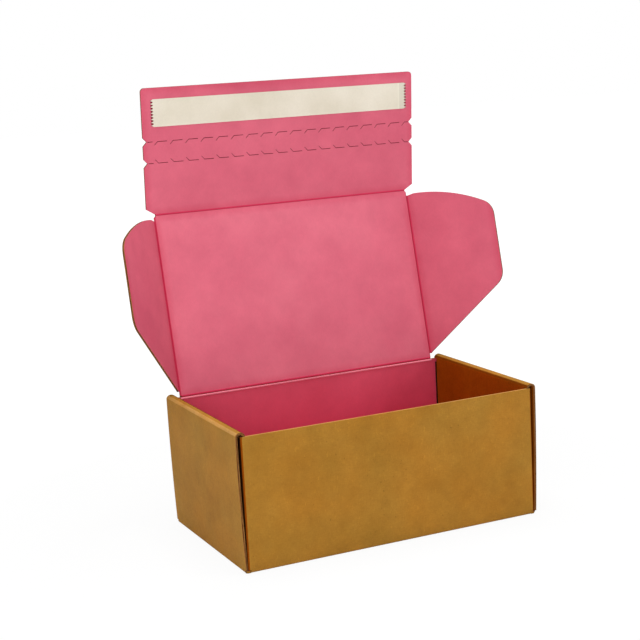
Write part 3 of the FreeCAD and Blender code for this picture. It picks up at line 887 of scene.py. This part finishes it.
def front_outline():
    """Half the outline, right side from the crease to the free edge, then mirrored."""
    half = [(LID_FRONT, 0.0), (FLAP_HALF, SHOULDER)]
    for line in (LOWER_LINE, UPPER_LINE):
        half += [(FLAP_HALF, line - NOTCH_HALF), (NOTCH_FLOOR, line),
                 (FLAP_HALF, line + NOTCH_HALF)]
    half += arc_points(FLAP_HALF - FLAP_ROUND, FLAP_LONG - FLAP_ROUND, FLAP_ROUND, 0.0, 90.0, 6)
    return half + [(-x, y) for x, y in reversed(half)]


def tear_cuts():
    """Each line has one short straight cut and then hooked ones, their tails towards the strip
    between the lines. The last cut ends short of the notch, or is left out."""
    cuts = []
    for line, into in ((LOWER_LINE, 1.0), (UPPER_LINE, -1.0)):
        near, away = line - SLIT / 2 * into, line + SLIT / 2 * into
        for k in range(CUTS):
            x = FIRST + PITCH * k
            bend = x + TAIL
            far = min(bend + FLAT, NOTCH_FLOOR - 0.6)
            if far < bend + 1.0:
                continue
            cuts.append([(x, line + TAIL * into), (bend, near), (far, near), (far, away),
                         (bend + 0.3 * SLIT, away),
                         (x + 0.75 * SLIT, line + (TAIL + 0.25 * SLIT) * into)])
        start, stop = 0.7 - NOTCH_FLOOR, FIRST - 1.2
        cuts.append([(start, line - SLIT / 2), (stop, line - SLIT / 2), (stop, line + SLIT / 2),
                     (start, line + SLIT / 2)])
    return cuts


front = Board()
front.outline([front_outline()] + tear_cuts(), front_point, swap=True,
              bare=[lambda u, v: abs(v) < SAME])
# Each cut gets a dark floor near either face: painted shade in the slit.
for cut in tear_cuts():
    for depth in (-CUT_FLOOR, CUT_FLOOR):
        corners = [front.point(front_point(u, v, depth)) for u, v in cut]
        front.face(corners, DARK_SHADE, [(0.0, 0.0)] * len(corners))
# The print side of the front flap's bead is deep crimson: painted shade in the crease.
front.bead(front_point, -LID_FRONT, LID_FRONT, swap=True, inner_kind=CREASE_SHADED)
front.build("front_flap_board", "front", ["front_flap"], board_look(PINK_FRONT))


# Adhesive strip and its paper
FILM = 0.15
PAPER = 0.12
LINER_X0 = -FLAP_HALF + 7.3
LINER_X1 = FLAP_HALF - 5.2
LINER_S1 = FLAP_LONG - 8.6
LINER_S0 = LINER_S1 - 21.0
LINER_CREASE = 104.0
CREASE_SPAN = 6.0
TAPE_IN = 2.2
TAPE_SIDE = 1.5
SHADE_IN = 0.3
SHADE_SIDE = 0.6
SHADE_DOWN = 0.06
TEETH = 9
TOOTH = 2.0


def liner_material():
    g = Graph("liner_paper")
    place = g.mapped((1.0, 1.0, 1.0))
    cloud = g.noise(place, 30.0, 3.0, 0.55)
    fibre = g.noise(g.mapped((700.0, 700.0, 700.0)), 1.0, 3.0, 0.6)
    colour = g.ramp(cloud, [(0.3, (0.68, 0.63, 0.50)), (0.7, (0.77, 0.72, 0.60))])
    colour = g.mix("MULTIPLY", 0.6, colour, g.grey(fibre, 0.3, 0.7, 0.95, 1.03))
    split = g.add("ShaderNodeSeparateXYZ")
    g.link(place, split.inputs[0])
    past = g.math("SUBTRACT", split.outputs[0], (LINER_CREASE - CREASE_SPAN / 2) * MM)
    past = g.math("DIVIDE", past, CREASE_SPAN * MM)
    bent = g.ramp(past, [(0.36, WHITE), (0.46, (1.07, 1.08, 1.10)), (0.54, (1.07, 1.08, 1.10)),
                         (0.68, (0.92, 0.92, 0.93))])
    colour = g.mix("MULTIPLY", 1.0, colour, bent)
    g.link(colour, g.shader.inputs["Base Color"])
    g.shader.inputs["Roughness"].default_value = 0.45
    g.shader.inputs["Specular IOR Level"].default_value = 0.4
    g.bump(cloud, 0.15, 0.0004)
    return g.material


LINER = liner_material()
TAPE = plain("adhesive_film", (0.66, 0.62, 0.50), 0.35, 0.5)

film = Board(FILM)
film.grid([LINER_X0 + TAPE_IN, LINER_X1 - TAPE_IN], [LINER_S0 + TAPE_SIDE, LINER_S1 - TAPE_SIDE],
          lambda u, v, w: front_point(u, v, w - (T + FILM) / 2), swap=True,
          edge_kind=lambda *_: OUT)

# Dark film under the paper's pinked ends: painted shade between the teeth.
for edge in (LINER_X0 + SHADE_IN, LINER_X1 - TAPE_IN):
    film.grid([edge, edge + TAPE_IN - SHADE_IN], [LINER_S0 + SHADE_SIDE, LINER_S1 - SHADE_SIDE],
              lambda u, v, w: front_point(u, v, (w - T) / 2 - SHADE_DOWN), swap=True,
              edge_kind=lambda *_: DARK_SHADE, inner_kind=DARK_SHADE)
film.build("adhesive_film", "front", ["adhesive_strip"],
           materials=[TAPE, TAPE, TAPE, TAPE, CUT_SHADE])


def liner_lift(u):
    """The paper's middle lies flat; its right end has been bent up once and pressed back."""
    bend = max(0.0, 1.0 - abs(u - LINER_CREASE) / 2.4)
    return 0.22 * bend * bend * (3 - 2 * bend) + 0.10 * max(0.0, (u - LINER_CREASE) / 12.0)


def liner_outline():
    """The paper with its pinked ends, from the right end's near corner round to the left's."""
    pitch = (LINER_S1 - LINER_S0) / TEETH
    left = []
    right = []
    for k in range(TEETH):
        s = LINER_S0 + pitch * k
        for part, reach in ((0.0, 0.0), (0.15, 0.0), (0.5, TOOTH), (0.85, 0.0)):
            right.append((LINER_X1 - TOOTH + reach, s + pitch * part))
            left.append((LINER_X0 + TOOTH - reach, s + pitch * part))
    right.append((LINER_X1 - TOOTH, LINER_S1))
    left.append((LINER_X0 + TOOTH, LINER_S1))
    return right + left[::-1]


def paper_fold(u, v, w):
    return front_point(u, v, w - (T + PAPER) / 2 - FILM - liner_lift(u))


paper = Board(PAPER)
paper.outline([liner_outline()], paper_fold, step=MESH_STEP / 2, swap=True,
              edge_kind=lambda *_: OUT)
paper.build("release_paper", "front", ["release_liner"], materials=[LINER, LINER],
            merge=False)


# Floor, world, lamps and camera. The floor's glow for the camera rises away from the box, in
# metres from the middle.
GLOW = 0.92
GLOW_MORE = 0.16
GLOW_FROM = 0.30
GLOW_RISE = 0.30


def floor_material():
    """White paper: the camera sees it nearly washed out, with only a trace of the shadow left."""
    g = Graph("white_floor")
    g.shader.inputs["Base Color"].default_value = (0.9, 0.9, 0.9, 1.0)
    g.shader.inputs["Roughness"].default_value = 0.9
    light = g.add("ShaderNodeLightPath")
    glow = g.add("ShaderNodeEmission")
    far_off = g.add("ShaderNodeVectorMath", operation="LENGTH")
    g.link(g.mapped((1.0, 1.0, 0.0)), far_off.inputs[0])
    level = g.math("MULTIPLY", g.math("SUBTRACT", far_off.outputs["Value"], GLOW_FROM), GLOW_RISE)
    level = g.math("MINIMUM", g.math("MAXIMUM", level, 0.0), GLOW_MORE)
    g.link(g.math("ADD", level, GLOW), glow.inputs["Strength"])
    dim = g.add("ShaderNodeBsdfDiffuse")
    dim.inputs["Color"].default_value = (0.06, 0.06, 0.06, 1.0)
    both = g.add("ShaderNodeAddShader")
    g.link(dim.outputs[0], both.inputs[0])
    g.link(glow.outputs[0], both.inputs[1])
    pick = g.add("ShaderNodeMixShader")
    g.link(light.outputs["Is Camera Ray"], pick.inputs[0])
    g.link(g.shader.outputs[0], pick.inputs[1])
    g.link(both.outputs[0], pick.inputs[2])
    g.link(pick.outputs[0], g.output.inputs[0])
    return g.material


FLOOR_HALF = 6.0
mesh = bpy.data.meshes.new("studio_floor")
mesh.from_pydata([(FLOOR_HALF * x, FLOOR_HALF * y, 0.0)
                  for x, y in ((-1, -1), (1, -1), (1, 1), (-1, 1))], [], [(0, 1, 2, 3)])
mesh.materials.append(floor_material())
floor = bpy.data.objects.new("studio_floor", mesh)
bpy.context.scene.collection.objects.link(floor)

world = bpy.data.worlds.new("studio")
bpy.context.scene.world = world
world.use_nodes = True
tree = world.node_tree
tree.nodes.clear()
out = tree.nodes.new("ShaderNodeOutputWorld")
seen = tree.nodes.new("ShaderNodeBackground")
seen.inputs[0].default_value = (1.0, 1.0, 1.0, 1.0)
seen.inputs[1].default_value = 1.0
lit = tree.nodes.new("ShaderNodeBackground")
lit.inputs[0].default_value = (1.0, 1.0, 1.0, 1.0)
lit.inputs[1].default_value = 0.3
path = tree.nodes.new("ShaderNodeLightPath")
pick = tree.nodes.new("ShaderNodeMixShader")
tree.links.new(path.outputs["Is Camera Ray"], pick.inputs[0])
tree.links.new(lit.outputs[0], pick.inputs[1])
tree.links.new(seen.outputs[0], pick.inputs[2])
tree.links.new(pick.outputs[0], out.inputs[0])


def area(name, place, target, size, power):
    lamp = bpy.data.lights.new(name, "AREA")
    lamp.shape = "RECTANGLE"
    lamp.size, lamp.size_y = size
    lamp.energy = power
    thing = bpy.data.objects.new(name, lamp)
    thing.location = place
    direction = Vector(target) - Vector(place)
    thing.rotation_euler = direction.to_track_quat("-Z", "Y").to_euler()
    bpy.context.scene.collection.objects.link(thing)


area("key_light", (-1.25, -1.5, 0.95), (0.0, 0.0, 0.14), (1.1, 1.1), 16.2)
area("fill_light", (1.5, -1.2, 0.9), (0.0, 0.0, 0.14), (1.1, 1.1), 8.0)
area("top_light", (0.0, 0.1, 3.0), (0.0, 0.0, 0.0), (2.1, 2.1), 92.0)

AZIMUTH = math.radians(-24.79)
ELEVATION = math.radians(10.48)
ROLL = math.radians(-3.06)
DISTANCE = 1.1048
FOCAL_PIXELS = 1484.3
PICTURE = 640.0
SENSOR = 36.0
AIM = Vector((-0.0207, 0.0, 0.1573))
eye = AIM + DISTANCE * Vector((math.sin(AZIMUTH) * math.cos(ELEVATION),
                               -math.cos(AZIMUTH) * math.cos(ELEVATION), math.sin(ELEVATION)))
forward = (AIM - eye).normalized()
right = forward.cross(Vector((0.0, 0.0, 1.0))).normalized()
up = right.cross(forward)
turned_right = right * math.cos(ROLL) + up * math.sin(ROLL)
turned_up = up * math.cos(ROLL) - right * math.sin(ROLL)
camera_data = bpy.data.cameras.new("camera")
camera_data.sensor_width = SENSOR
camera_data.lens = FOCAL_PIXELS / PICTURE * SENSOR
camera_data.clip_start = 0.05
camera_data.clip_end = 50.0
camera = bpy.data.objects.new("camera", camera_data)
camera.matrix_world = Matrix((
    (turned_right.x, turned_up.x, -forward.x, eye.x),
    (turned_right.y, turned_up.y, -forward.y, eye.y),
    (turned_right.z, turned_up.z, -forward.z, eye.z),
    (0.0, 0.0, 0.0, 1.0)))
bpy.context.scene.collection.objects.link(camera)
bpy.context.scene.camera = camera
bpy.context.scene.view_settings.view_transform = "Standard"
